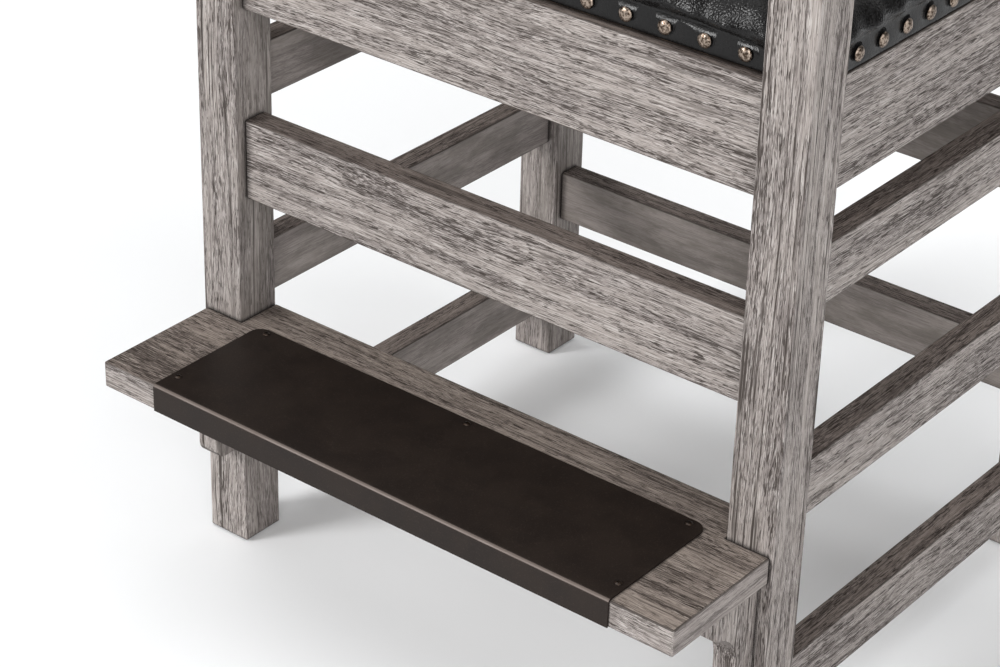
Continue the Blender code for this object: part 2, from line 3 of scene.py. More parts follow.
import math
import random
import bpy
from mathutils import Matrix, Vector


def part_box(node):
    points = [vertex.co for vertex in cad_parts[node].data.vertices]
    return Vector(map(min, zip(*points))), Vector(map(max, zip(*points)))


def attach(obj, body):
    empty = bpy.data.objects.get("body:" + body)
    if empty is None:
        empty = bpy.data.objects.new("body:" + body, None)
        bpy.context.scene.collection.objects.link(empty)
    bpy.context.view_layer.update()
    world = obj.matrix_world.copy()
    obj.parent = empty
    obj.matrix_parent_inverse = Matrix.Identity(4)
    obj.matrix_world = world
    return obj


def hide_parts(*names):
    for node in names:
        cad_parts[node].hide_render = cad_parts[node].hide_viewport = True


bl_info = {
    "name": "Bar Stool Finishing",
    "version": (1, 0, 0),
    "blender": (4, 5, 0),
    "location": "View3D > Sidebar > Bar Stool",
    "description": "Finishes the frame, upholsters the seat and back, and lights the stool",
    "category": "Object",
}

import bmesh
import bpy
from mathutils import Matrix, Vector, noise

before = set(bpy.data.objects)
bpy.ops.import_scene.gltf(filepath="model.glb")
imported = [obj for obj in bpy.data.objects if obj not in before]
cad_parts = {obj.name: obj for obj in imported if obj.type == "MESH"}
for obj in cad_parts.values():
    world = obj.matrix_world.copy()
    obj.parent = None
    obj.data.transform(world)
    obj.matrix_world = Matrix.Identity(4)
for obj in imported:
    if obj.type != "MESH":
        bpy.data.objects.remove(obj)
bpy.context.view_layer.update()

MM = 0.001
BODY = "root"

# Places that the frame gives.
POST_LOW, POST_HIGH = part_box("front_leg_right")
REAR_POST_LOW, REAR_POST_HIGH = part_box("rear_leg_right")
SEAT_LOW, SEAT_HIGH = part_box("seat_cushion")
SEAT_BOARD_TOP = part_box("seat_board")[1].z
PAD_LOW, PAD_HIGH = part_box("back_cushion")
PAD_BORDER_Y = (PAD_LOW.y + PAD_HIGH.y) / 2     # the nailed border is half as deep as the pad

LEATHER = "Pebbled black leather, satin"
NAIL_BRONZE = "Hammered bronze nail, toned"
NAIL_ROUGHNESS = 0.34
SWELL_FRAMES = 20
CLEARANCE = 1.0 * MM                # leather to the posts
SIDE_NAIL_SHIFT = 9 * MM            # the side rows sit further back than their middle
SIDE_NAIL_MARGIN = 24 * MM
SIDE_NAIL_CLOSER = 0.94             # side nails are spaced a little closer

UPRIGHTS = ["front_leg_left", "front_leg_right", "rear_leg_left", "rear_leg_right",
            "corbel_left", "corbel_right"]
CROSS_RAILS = ["front_apron", "front_rail", "rear_apron", "rear_upper_rail", "rear_lower_rail",
               "lower_back_rail", "crest_rail", "back_board"]
SIDE_RAILS = ["arm_left", "arm_right", "side_apron_left", "side_apron_right"] + [
    f"side_rail_{level}_{side}" for level in ("low", "middle", "high")
    for side in ("left", "right")]
PLATE_SCREWS = [f"kick_plate_screw_{place}" for place in
                ("front_left", "front_right", "rear_left", "rear_middle", "rear_right")]
UNDERSEAT = [f"{row}_{side}" for row in ("front", "rear") for side in ("left", "right")]


# ---------------------------------------------------------------- settings
def colour_property(name, description, hex_colour):
    return bpy.props.StringProperty(name=name, description=description, default=hex_colour)


def length_property(name, description, metres):
    return bpy.props.FloatProperty(name=name, description=description, default=metres,
                                   min=0.0, precision=4, subtype="DISTANCE", unit="LENGTH")


class StoolWoodSettings(bpy.types.PropertyGroup):
    lime: colour_property("Lime", "Light glaze left on the flats", "948C87")
    glaze: colour_property("Glaze", "Thinner glaze between the light bands", "7F7774")
    caught: colour_property("Caught lime", "Lime caught in the low fibres", "B2ACA8")
    pore: colour_property("Pore", "Brown ground showing in the brushed pores", "3A332F")
    # The upper-face and footrest-top tints darken faces that look up: partly brown ground, partly
    # painted shade.
    upper: colour_property("Upper faces", "Tint of the faces that look up", "CFC8C4")
    board: colour_property("Footrest top", "Tint of the trodden board", "EAE3DC")
    # The joint colour is painted shade, laid by occlusion where the parts meet.
    joint_shade: colour_property("Joints", "Brown ground left in the joints", "231E1C")
    # The blot colour gives real blots, and painted shade on the cross rails' inner faces.
    blot_and_shade: colour_property("Blots", "Thin glaze on the inner faces", "5C5650")
    # The corner colour is a painted highlight on the footrest board's upright corners.
    corner_highlight: colour_property("Footrest corners", "Lime rubbed on the upright corners", "D6D1CC")
    pore_length: length_property("Pore length", "Length of one brushed-out pore", 0.017)
    pore_width: length_property("Pore width", "Width of one brushed-out pore", 0.0010)


class StoolMetalSettings(bpy.types.PropertyGroup):
    plate: colour_property("Kick plate", "Coating of the sheet metal", "201A17")
    plate_worn: colour_property("Kick plate, worn", "Coating where it is rubbed", "251E1A")
    fleck: colour_property("Flecks", "Grains of the coating that catch the light", "4A3F3A")
    # The bent-edge colour is a painted highlight along the plate's front bend.
    bend: colour_property("Bent edge", "Coating rubbed thin over the bend", "8A7D76")
    stain: colour_property("Stain", "Brown tone in the dents of bronze", "43362C")
    nail: colour_property("Nails", "Old bronze of the nail heads", "A39487")
    screw: colour_property("Screws", "Bronzed steel of the screws", "4C4541")
    zinc: colour_property("Seat screws", "Zinc plate", "A9A9A5")


class StoolUpholsterySettings(bpy.types.PropertyGroup):
    leather: colour_property("Leather", "Dyed hide", "0E0D0D")
    hollow: colour_property("Leather hollows", "Dye gathered between the pebbles", "060505")
    nail_radius: length_property("Nail radius", "Radius of a nail head", 0.0071)
    nail_rise: length_property("Nail height", "From the seat's lower edge to the nails", 0.0125)
    nail_pitch: length_property("Nail spacing", "Wanted from one nail to the next", 0.0400)
    nail_margin: length_property("End margin", "From a post to the first nail", 0.0300)
    band: length_property("Band", "Height of the flat nailed band", 0.0255)
    roll: length_property("Roll", "Radius of the seat's rolled edge", 0.0240)
    overhang: length_property("Overhang", "How far the roll stands out over the band", 0.0060)
    crown: length_property("Crown", "Rise of the seat's middle above its edge", 0.0100)
    border: length_property("Border", "Width of the nailed border round the back pad", 0.0240)


class StoolStageSettings(bpy.types.PropertyGroup):
    azimuth: bpy.props.FloatProperty(name="Azimuth", description="Camera's turn round the stool",
                                     default=math.radians(38.0), subtype="ANGLE", unit="ROTATION")
    elevation: bpy.props.FloatProperty(name="Elevation", description="Camera's height angle",
                                       default=math.radians(29.89), subtype="ANGLE",
                                       unit="ROTATION")
    roll: bpy.props.FloatProperty(name="Roll", description="Camera's tilt about its view",
                                  default=math.radians(1.6), subtype="ANGLE", unit="ROTATION")
    lens: bpy.props.FloatProperty(name="Lens", description="Focal length", default=102.05,
                                  subtype="DISTANCE_CAMERA", unit="CAMERA")
    distance: length_property("Distance", "From the camera to what it looks at", 2.5949)
    aim: bpy.props.FloatVectorProperty(name="Aim", description="What the camera looks at",
                                       default=(0.0332, -0.2081, 0.3747), subtype="XYZ",
                                       unit="LENGTH")
    floor: colour_property("Floor", "Pale studio floor", "F8F9FA")


def srgb(hex_colour):
    """A hex sRGB colour as linear RGBA."""
    channels = [int(hex_colour[i:i + 2], 16) / 255 for i in (0, 2, 4)]
    return [c / 12.92 if c <= 0.04045 else ((c + 0.055) / 1.055) ** 2.4 for c in channels] + [1.0]


# ---------------------------------------------------------------- node trees
EASED = {"interpolation_type": "SMOOTHSTEP"}
COLOURS = {"data_type": "RGBA", "clamp_factor": True}


def add(tree, kind, inputs=(), out=0, **settings):
    """Adds a node with its settings and links, and gives one of its outputs. Each input is a
    value, or the output that it comes from."""
    node = tree.nodes.new("ShaderNode" + kind)
    for name, value in settings.items():
        setattr(node, name, value)
    join(tree, node, inputs)
    return node.outputs[out]


def join(tree, node, inputs):
    """Gives a node's named or numbered inputs their values and links."""
    for key, value in inputs.items() if isinstance(inputs, dict) else enumerate(inputs):
        if isinstance(value, bpy.types.NodeSocket):
            tree.links.new(value, node.inputs[key])
        else:
            node.inputs[key].default_value = value


def new_material(name):
    """A material with its tree and its empty Principled shader."""
    material = bpy.data.materials.new(name)
    material.use_nodes = True
    return material, material.node_tree, material.node_tree.nodes["Principled BSDF"]


# ---------------------------------------------------------------- wood
def limed_hardwood(name, grain_axis, board=False):
    """Open-pored hardwood, wire-brushed and limed: soft early wood is brushed out, the brown
    ground shows in the pores, and a thin grey-white glaze stays on the flats. It gives the eye
    short dark dashes in bands along the grain, on a pale matt ground."""
    wood = bpy.context.scene.stool_wood
    material, tree, shader = new_material(name)
    upright = grain_axis == "Z"
    place = add(tree, "TexCoord", (), "Object")
    normal = add(tree, "TexCoord", (), "Normal")
    height = add(tree, "SeparateXYZ", (place,), "Z")
    facing = add(tree, "SeparateXYZ", (normal,)).node.outputs
    along = add(tree, "Math", (facing[grain_axis],), operation="ABSOLUTE")
    on_end = 0.0 if upright else add(tree, "MapRange", (along, 0.80, 0.90), **EASED)

    # X is laid along the grain, and on the sawn ends along the end. The grain wanders a little.
    turn = {"X": (0, 0, 0), "Y": (0, 0, -math.pi / 2), "Z": (0, math.pi / 2, 0)}[grain_axis]
    straight = add(tree, "Mapping", {"Vector": place, "Rotation": turn})
    x, y, z = add(tree, "SeparateXYZ", (straight,)).node.outputs
    turned = add(tree, "CombineXYZ", (y, x, z))
    laid = add(tree, "Mix", {0: on_end, 4: straight, 5: turned}, 1, data_type="VECTOR")
    sway = 0.0
    for size, shift, reach in (((18, 70, 70), 9.1, 0.0007 if upright else 0.0016),
                               ((3, 14, 14), 3.7, 0.020)):
        scaled = add(tree, "Mapping", {"Vector": laid, "Scale": size, "Location": [shift] * 3})
        wander = add(tree, "TexNoise", {"Vector": scaled, "Scale": 1.0, "Detail": 1.0})
        sway = add(tree, "Math", (wander, reach, sway), operation="MULTIPLY_ADD")
    grain = add(tree, "VectorMath", (laid, add(tree, "CombineXYZ", (0.0, sway, sway))),
                operation="ADD")

    # Each figure of the wood: its size along and across the grain in millimetres, and its
    # detail, roughness and shift.
    long, wide = wood.pore_length / MM, wood.pore_width / MM
    figures = {"bands": (500, 9, 3.0, 0.6, 1.9), "clouds": (120, 35, 3.0, 0.55, 23.0),
               "dashes": (long, wide, 1.5, 0.6, 5.1),
               "nicks": (long / 2, wide * 0.7, 1.0, 0.5, 7.7),
               "lines": (900, 3.0, 2.0, 0.55, 31.0), "broken": (90, 5, 2.0, 0.6, 41.0),
               "fibres": (34, 0.75, 2.0, 0.7, 8.9), "blots_and_shade": (70, 25, 4.0, 0.6, 51.0)}
    figure = {}
    for kind, (length, width, detail, roughness, shift) in figures.items():
        scaled = add(tree, "Mapping", {
            "Vector": grain, "Location": (shift, shift, shift),
            "Scale": (1 / (length * MM), 1 / (width * MM), 1 / (width * MM))})
        figure[kind] = add(tree, "TexNoise", {
            "Vector": scaled, "Scale": 1.0, "Detail": detail, "Roughness": roughness})
    bands, clouds, fibres = figure["bands"], figure["clouds"], figure["fibres"]

    # Faces turned to the middle of the stool, sawn ends and coves were brushed less.
    out = add(tree, "VectorMath", (normal, place), "Value", operation="DOT_PRODUCT")
    below = add(tree, "MapRange", (height, SEAT_HIGH.z, SEAT_LOW.z), **EASED)
    inner = add(tree, "MapRange", (out, 0.0, -0.050), **EASED)
    inner = add(tree, "Math", (inner, below), operation="MULTIPLY")
    brushed = add(tree, "MapRange", (inner, 0.0, 1.0, 1.0, 0.75 if upright else 0.30))
    calm = (0.30, 0.60, 1.0, 0.25) if upright else (0.80, 0.90, 1.0, 0.55)
    calm = add(tree, "MapRange", (along, *calm), **EASED)
    brushed = add(tree, "Math", (brushed, calm), operation="MULTIPLY")

    # Pores: brushed-out dashes, crowded where the wood is open, among finer nicks.
    density = add(tree, "Math", (bands, -0.46, 0.720 if upright else 0.735),
                  operation="MULTIPLY_ADD")
    density = add(tree, "Math", (clouds, -0.16, density), operation="MULTIPLY_ADD")
    for kind, soft, depth in (("dashes", 0.045, 1.0), ("nicks", 0.060, 0.75)):
        bare = add(tree, "Math", (density, figure[kind]), operation="SUBTRACT")
        figure[kind] = add(tree, "MapRange", (bare, 0.0, soft, 0.0, depth), **EASED)
    pores = add(tree, "Math", (figure["dashes"], figure["nicks"]), operation="MAXIMUM")

    # Growth lines: thin dark lines that run on and on, plainest on the rift-sawn posts.
    lines = add(tree, "MapRange", (figure["lines"], 0.57, 0.63), **EASED)
    broken = add(tree, "MapRange", (figure["broken"], 0.36, 0.54, 0.2, 1.0 if upright else 0.6),
                 **EASED)
    lines = add(tree, "Math", (lines, broken), operation="MULTIPLY")
    marks = add(tree, "Math", (pores, lines), operation="MAXIMUM")
    marks = add(tree, "Math", (marks, brushed), operation="MULTIPLY")

    # Glaze: thicker and thinner over the bands, wiped off the high fibres, caught in the low.
    tone = add(tree, "Math", (bands, 0.55), operation="MULTIPLY")
    tone = add(tree, "Math", (clouds, 0.45, tone), operation="MULTIPLY_ADD")
    tone = add(tree, "MapRange", (tone, 0.36, 0.62), **EASED)
    colour = add(tree, "Mix", {0: tone, 6: srgb(wood.glaze), 7: srgb(wood.lime)}, 2, **COLOURS)
    high = add(tree, "MapRange", (fibres, 0.50, 0.30, 0.0, 0.68), **EASED)
    low = add(tree, "MapRange", (fibres, 0.50, 0.64, 0.0, 0.85), **EASED)
    # On the cross rails the blot colour also covers all inner faces under the seat as painted
    # shade, for the light that falls off there; elsewhere it gives blots alone.
    least, most = (0.30, 0.70) if grain_axis == "X" else (0.0, 0.45)
    blots_and_shade = add(tree, "MapRange", (figure["blots_and_shade"], 0.42, 0.62, least, most), **EASED)
    for layer, strength, shade in ((high, brushed, wood.pore), (low, brushed, wood.caught),
                                   (marks, 0.97, wood.pore), (blots_and_shade, inner, wood.blot_and_shade)):
        share = add(tree, "Math", (layer, strength), operation="MULTIPLY")
        colour = add(tree, "Mix", {0: share, 6: colour, 7: srgb(shade)}, 2, **COLOURS)

    # Faces that look up are darker: partly the brown ground they keep, partly painted shade for
    # the lesser light on the tops.
    top_ground_and_shade = srgb(wood.board if board else wood.upper)
    upward = add(tree, "MapRange", (facing["Z"], 0.80, 0.95), **EASED)
    colour = add(tree, "Mix", {0: upward, 6: colour, 7: add(
        tree, "Mix", {0: 1.0, 6: colour, 7: top_ground_and_shade}, 2, blend_type="MULTIPLY", **COLOURS)},
        2, **COLOURS)

    # Level arrises are drawn darker in patches, and the board's upright corners are drawn pale as
    # a painted highlight.
    largest = 0.0
    for axis in "XYZ":
        share = add(tree, "Math", (facing[axis],), operation="ABSOLUTE")
        largest = add(tree, "Math", (largest, share), operation="MAXIMUM")
    lifted = add(tree, "MapRange", (share, 0.15, 0.35), **EASED)    # from the Z share
    arris = add(tree, "MapRange", (largest, 0.985, 0.930), **EASED)
    patchy = add(tree, "MapRange", (clouds, 0.35, 0.60, 0.40, 0.90), **EASED)
    dark = add(tree, "Math", (arris, lifted), operation="MULTIPLY")
    dark = add(tree, "Math", (dark, patchy), operation="MULTIPLY")
    colour = add(tree, "Mix", {0: dark, 6: colour, 7: srgb(wood.pore)}, 2, **COLOURS)
    if board:
        # Painted highlight: the footrest board's upright corners are drawn pale, as where the
        # light catches them.
        pale = add(tree, "MapRange", (largest, 0.94, 0.82, 0.0, 0.85), **EASED)
        standing = add(tree, "Math", (1.0, lifted), operation="SUBTRACT")
        pale = add(tree, "Math", (pale, standing), operation="MULTIPLY")
        colour = add(tree, "Mix", {0: pale, 6: colour, 7: srgb(wood.corner_highlight)}, 2, **COLOURS)

    # Painted shade in the joints and nooks, where parts meet and shadow each other, drawn in a
    # dark brown.
    joint_shade = add(tree, "AmbientOcclusion", {"Distance": 7 * MM}, "AO", samples=6)
    painted_nook_shade = add(tree, "MapRange", (joint_shade, 0.84, 0.46, 0.0, 0.95), **EASED)
    colour = add(tree, "Mix", {0: painted_nook_shade, 6: colour, 7: srgb(wood.joint_shade)}, 2, **COLOURS)

    sunk = add(tree, "Math", (marks, -1.0), operation="MULTIPLY")
    relief = add(tree, "Math", (fibres, 0.35, sunk), operation="MULTIPLY_ADD")
    bump = add(tree, "Bump", {"Height": relief, "Strength": 0.55, "Distance": 0.35 * MM})
    matt = add(tree, "MapRange", (marks, 0.0, 1.0, 0.58, 0.80))
    join(tree, shader, {"Base Color": colour, "Normal": bump, "Roughness": matt,
                        "Specular IOR Level": 0.30})
    return material


def raw_timber(name, light, dark, length, width):
    """Planed, unfinished timber: even pale wood with a soft darker figure along the board."""
    material, tree, shader = new_material(name)
    scaled = add(tree, "Mapping", {"Vector": add(tree, "TexCoord", (), "Object"),
                                   "Scale": (1 / length, 1 / width, 1 / width)})
    figure = add(tree, "TexNoise", {"Vector": scaled, "Scale": 1.0, "Detail": 4.0,
                                    "Roughness": 0.6})
    share = add(tree, "MapRange", (figure, 0.35, 0.65), **EASED)
    colour = add(tree, "Mix", {0: share, 6: srgb(dark), 7: srgb(light)}, 2, **COLOURS)
    bump = add(tree, "Bump", {"Height": figure, "Strength": 0.3, "Distance": 0.2 * MM})
    join(tree, shader, {"Base Color": colour, "Normal": bump, "Roughness": 0.75})
    return material


# ---------------------------------------------------------------- metal, leather, nylon
def bronzed_sheet():
    """Sheet steel with a dark bronze powder coating: satin, faintly mottled and grained, with a
    painted highlight along its bent edge."""
    metal = bpy.context.scene.stool_metal
    material, tree, shader = new_material("Bronze-coated sheet steel, satin")
    place = add(tree, "TexCoord", (), "Object")
    mottle = add(tree, "TexNoise", {"Vector": place, "Scale": 1 / (45 * MM), "Detail": 4.0,
                                    "Roughness": 0.6})
    speck = add(tree, "TexNoise", {"Vector": place, "Scale": 1 / (1.3 * MM), "Detail": 2.0})
    share = add(tree, "MapRange", (mottle, 0.35, 0.65), **EASED)
    colour = add(tree, "Mix", {0: share, 6: srgb(metal.plate), 7: srgb(metal.plate_worn)}, 2,
                 **COLOURS)
    share = add(tree, "MapRange", (speck, 0.56, 0.74, 0.0, 0.30), **EASED)
    colour = add(tree, "Mix", {0: share, 6: colour, 7: srgb(metal.fleck)}, 2, **COLOURS)
    facing = add(tree, "SeparateXYZ", (add(tree, "TexCoord", (), "Normal"),)).node.outputs
    # Painted highlight: a lighter colour along the bent front edge.
    bend = add(tree, "Math", (facing["Y"], facing["Z"]), operation="MULTIPLY")
    bend = add(tree, "MapRange", (bend, -0.15, -0.42, 0.0, 0.40), **EASED)
    colour = add(tree, "Mix", {0: bend, 6: colour, 7: srgb(metal.bend)}, 2, **COLOURS)
    satin = add(tree, "MapRange", (mottle, 0.3, 0.7, 0.36, 0.46), **EASED)
    bump = add(tree, "Bump", {"Height": speck, "Strength": 0.3, "Distance": 0.15 * MM})
    join(tree, shader, {"Base Color": colour, "Normal": bump, "Roughness": satin,
                        "Metallic": 0.1, "Specular IOR Level": 0.15})
    return material


def old_bronze(name, hex_colour, roughness):
    """Hammered and toned bronze: bright on the high spots, brown in the dents."""
    metal = bpy.context.scene.stool_metal
    material, tree, shader = new_material(name)
    place = add(tree, "TexCoord", (), "Object")
    stain = add(tree, "TexNoise", {"Vector": place, "Scale": 1 / (2.2 * MM), "Detail": 3.0,
                                   "Roughness": 0.6})
    share = add(tree, "MapRange", (stain, 0.38, 0.60), **EASED)
    colour = add(tree, "Mix", {0: share, 6: srgb(metal.stain), 7: srgb(hex_colour)}, 2,
                 **COLOURS)
    bump = add(tree, "Bump", {"Height": stain, "Strength": 0.5, "Distance": 0.3 * MM})
    join(tree, shader, {"Base Color": colour, "Normal": bump, "Roughness": roughness,
                        "Metallic": 1.0})
    return material


def black_leather():
    """Dyed and plated hide: a fine pebble of low domes with a satin top coat, so highlights
    break up into small sparks. Where it is strained over the nailed band it lies smoother.
    The pebble is drawn at 1.6 mm, about twice its real size, so that it shows."""
    upholstery = bpy.context.scene.stool_upholstery
    material, tree, shader = new_material(LEATHER)
    place = add(tree, "TexCoord", (), "Object")
    wobble = add(tree, "TexNoise", {"Vector": place, "Scale": 400.0, "Detail": 2.0}, "Color")
    bent = add(tree, "Mix", {0: 0.0010, 4: place, 5: wobble}, 1, data_type="VECTOR")
    pebble = add(tree, "TexVoronoi", {"Vector": bent, "Scale": 1 / (1.6 * MM)}, "Distance",
                 feature="SMOOTH_F1")
    folds = add(tree, "TexNoise", {"Vector": place, "Scale": 1 / (12 * MM), "Detail": 3.0,
                                   "Roughness": 0.6})
    level = add(tree, "SeparateXYZ", (place,), "Z")
    crease = SEAT_LOW.z + upholstery.band
    loose = add(tree, "MapRange", (level, crease - 4 * MM, crease + 4 * MM, 0.30, 1.0), **EASED)
    height = add(tree, "Math", (pebble, -1.6), operation="MULTIPLY")
    height = add(tree, "Math", (folds, 0.25, height), operation="MULTIPLY_ADD")
    height = add(tree, "Math", (height, loose), operation="MULTIPLY")
    share = add(tree, "MapRange", (pebble, 0.3, 0.9), **EASED)
    colour = add(tree, "Mix", {0: share, 6: srgb(upholstery.leather), 7: srgb(upholstery.hollow)},
                 2, **COLOURS)
    bump = add(tree, "Bump", {"Height": height, "Strength": 0.9, "Distance": 0.36 * MM})
    satin = add(tree, "MapRange", (folds, 0.35, 0.65, 0.24, 0.32), **EASED)
    join(tree, shader, {"Base Color": colour, "Normal": bump, "Roughness": satin,
                        "Specular IOR Level": 0.25})
    return material


def moulded_nylon():
    """Injection-moulded nylon: brown, with the faint orange peel of the tool."""
    material, tree, shader = new_material("Moulded brown nylon")
    place = add(tree, "TexCoord", (), "Object")
    peel = add(tree, "TexNoise", {"Vector": place, "Scale": 1 / (1.5 * MM), "Detail": 2.0})
    colour = add(tree, "Mix", {0: peel, 6: srgb("42352C"), 7: srgb("53443A")}, 2, **COLOURS)
    bump = add(tree, "Bump", {"Height": peel, "Strength": 0.2, "Distance": 0.1 * MM})
    join(tree, shader, {"Base Color": colour, "Normal": bump, "Roughness": 0.5})
    return material


def studio_floor():
    """Matt painted sweep."""
    stage = bpy.context.scene.stool_stage
    material, tree, shader = new_material("Matt white studio floor")
    place = add(tree, "TexCoord", (), "Object")
    cloud = add(tree, "TexNoise", {"Vector": place, "Scale": 0.7, "Detail": 2.0})
    colour = add(tree, "Mix", {0: cloud, 6: srgb(stage.floor), 7: srgb("F6F7F8")}, 2, **COLOURS)
    join(tree, shader, {"Base Color": colour, "Roughness": 0.9})
    return material


# ---------------------------------------------------------------- modelling helpers
def only(piece):
    """Selects one object alone and makes it active."""
    bpy.ops.object.select_all(action="DESELECT")
    piece.select_set(True)
    bpy.context.view_layer.objects.active = piece


def new_piece(name):
    """Names the primitive that an operator has just added."""
    piece = bpy.context.object
    piece.name = name
    piece.data.name = name
    return piece


def pick(piece, kind, test):
    """In edit mode, selects the verts, edges or faces that pass a test, and no others."""
    bpy.ops.mesh.select_all(action="DESELECT")
    bpy.ops.mesh.select_mode(type={"verts": "VERT", "edges": "EDGE", "faces": "FACE"}[kind])
    bm = bmesh.from_edit_mesh(piece.data)
    chosen = [element for element in getattr(bm, kind) if test(element)]
    if not chosen:
        raise RuntimeError(f"{piece.name}: nothing to select among its {kind}")
    for element in chosen:
        element.select_set(True)
    bm.select_flush_mode()
    bmesh.update_edit_mesh(piece.data)


def settle(piece):
    """Puts a finished piece's place into its mesh."""
    only(piece)
    bpy.ops.object.transform_apply(location=True, rotation=True, scale=True)


def apply_modifier(piece, kind, **settings):
    only(piece)
    modifier = piece.modifiers.new(kind.lower(), kind)
    for name, value in settings.items():
        setattr(modifier, name, value)
    bpy.ops.object.modifier_apply(modifier=modifier.name)


def turn_out(shell, way):
    """Turns the faces of an open shell outwards, where way is out for its furthest face."""
    only(shell)
    bpy.ops.object.mode_set(mode="EDIT")
    bpy.ops.mesh.select_all(action="SELECT")
    bpy.ops.mesh.normals_make_consistent(inside=False)
    bpy.ops.object.mode_set(mode="OBJECT")
    if max(shell.data.polygons, key=lambda face: face.center.dot(way)).normal.dot(way) < 0:
        shell.data.flip_normals()


def dress(piece, material):
    piece.data.materials.clear()
    piece.data.materials.append(material)


def move_points(piece, rule):
    """Sculpts in code: rule(co, normal) gives each point's new place."""
    normals = [vertex.normal.copy() for vertex in piece.data.vertices]
    for vertex, normal in zip(piece.data.vertices, normals):
        vertex.co = rule(vertex.co.copy(), normal)
    piece.data.update()


def swell(piece, pressure, pinned, limit, hold=None):
    """Blows a pad up with cloth and caps how far each point may move."""
    start = [vertex.co.copy() for vertex in piece.data.vertices]
    fixed = [vertex.index for vertex in piece.data.vertices if pinned(vertex.co)]
    piece.vertex_groups.new(name="pinned").add(fixed, 1.0, "REPLACE")
    only(piece)
    cloth = piece.modifiers.new("cloth", "CLOTH")
    leather = {"quality": 6, "mass": 0.35, "tension_stiffness": 12.0,
               "compression_stiffness": 12.0, "shear_stiffness": 6.0, "bending_stiffness": 0.6,
               "vertex_group_mass": "pinned", "use_pressure": True,
               "uniform_pressure_force": pressure}
    for name, value in leather.items():
        setattr(cloth.settings, name, value)
    cloth.settings.effector_weights.gravity = 0.0
    cloth.collision_settings.use_collision = False
    cloth.point_cache.frame_start = 1
    cloth.point_cache.frame_end = SWELL_FRAMES
    scene = bpy.context.scene
    for step in range(1, SWELL_FRAMES + 1):
        scene.frame_set(step)
    bpy.ops.object.modifier_apply(modifier=cloth.name)
    scene.frame_set(1)
    piece.vertex_groups.clear()
    for vertex, origin in zip(piece.data.vertices, start):
        shift = vertex.co - origin
        if shift.length > limit:
            # A soft cap, so that the crown stays round and has no flat plateau.
            shift *= limit * (1 + 0.25 * math.tanh(shift.length / limit - 1)) / shift.length
        vertex.co = origin + shift
        if hold:
            vertex.co = hold(origin, vertex.co)
    piece.data.update()


# ---------------------------------------------------------------- nails
def nail_places(start, end, margin, pitch):
    """Evenly spaced places along a run, as close to the wanted pitch as fits."""
    run = end - start - 2 * margin
    gaps = max(1, round(run / pitch))
    return [start + margin + run * i / gaps for i in range(gaps + 1)]


def make_nail(name):
    """One hammered nail head, dome up: half a sphere, flattened, with a struck middle and a
    ring of blows round it."""
    upholstery = bpy.context.scene.stool_upholstery
    radius = upholstery.nail_radius
    blows = 9
    bpy.ops.mesh.primitive_uv_sphere_add(segments=2 * blows, ring_count=14, radius=radius)
    nail = new_piece(name)
    bpy.ops.object.mode_set(mode="EDIT")
    bpy.ops.mesh.select_all(action="SELECT")
    bpy.ops.mesh.bisect(plane_co=(0, 0, radius * 0.08), plane_no=(0, 0, 1), clear_inner=True,
                        use_fill=True)
    bpy.ops.mesh.select_all(action="SELECT")
    bpy.ops.transform.translate(value=(0, 0, -radius * 0.08))
    bpy.ops.transform.resize(value=(1, 1, 0.50))
    bpy.ops.object.mode_set(mode="OBJECT")

    def strike(co, normal):
        out = co.xy.length / radius
        middle = math.exp(-(out / 0.22) ** 2)
        ring = math.exp(-((out - 0.68) / 0.25) ** 2)
        turn = math.atan2(co.y, co.x)
        height = 0.55 * middle + 0.38 * ring * (0.5 - 0.5 * math.cos(blows * turn))
        return co - Vector((0, 0, 1)) * height * MM * min(1.0, co.z / (0.15 * radius))

    move_points(nail, strike)
    return nail


def nail_row(name, nail, places, outward, material):
    """Copies the nail to each place, dome outwards, and joins the row into one piece."""
    turn = Vector(outward).to_track_quat("Z", "Y")
    spin = random.Random(len(name))
    copies = []
    for place in places:
        copy = nail.copy()
        copy.data = nail.data.copy()
        bpy.context.scene.collection.objects.link(copy)
        around = Matrix.Rotation(spin.uniform(0, 2 * math.pi), 4, "Z")
        tilt = Matrix.Rotation(spin.uniform(-0.06, 0.06), 4, "X")
        copy.matrix_world = Matrix.Translation(place) @ turn.to_matrix().to_4x4() @ tilt @ around
        copies.append(copy)
    bpy.ops.object.select_all(action="DESELECT")
    for copy in copies:
        copy.select_set(True)
    bpy.context.view_layer.objects.active = copies[0]
    bpy.ops.object.join()
    row = new_piece(name)
    settle(row)
    dress(row, material)
    bpy.ops.object.shade_smooth_by_angle(angle=math.radians(22))
    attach(row, BODY)


# ---------------------------------------------------------------- seat
def seat_plan():
    """The notched outline of the seat: half widths, front, rear and notch lines."""
    return {"wide": SEAT_HIGH.x, "narrow": POST_LOW.x - CLEARANCE,
            "front": SEAT_LOW.y, "rear": SEAT_HIGH.y,
            "front_notch": POST_HIGH.y + CLEARANCE, "rear_notch": REAR_POST_LOW.y - CLEARANCE}


def seat_nails():
    """Nail places of the four sides, with the way each side faces."""
    upholstery = bpy.context.scene.stool_upholstery
    plan = seat_plan()
    z = SEAT_LOW.z + upholstery.nail_rise
    lengthwise = nail_places(POST_HIGH.y + SIDE_NAIL_SHIFT, REAR_POST_LOW.y + SIDE_NAIL_SHIFT,
                             SIDE_NAIL_MARGIN, upholstery.nail_pitch * SIDE_NAIL_CLOSER)
    crosswise = nail_places(-POST_LOW.x, POST_LOW.x, upholstery.nail_margin,
                            upholstery.nail_pitch)
    return {"front": ([(x, plan["front"], z) for x in crosswise], (0, -1, 0)),
            "rear": ([(x, plan["rear"], z) for x in crosswise], (0, 1, 0)),
            "left": ([(-plan["wide"], y, z) for y in lengthwise], (-1, 0, 0)),
            "right": ([(plan["wide"], y, z) for y in lengthwise], (1, 0, 0))}


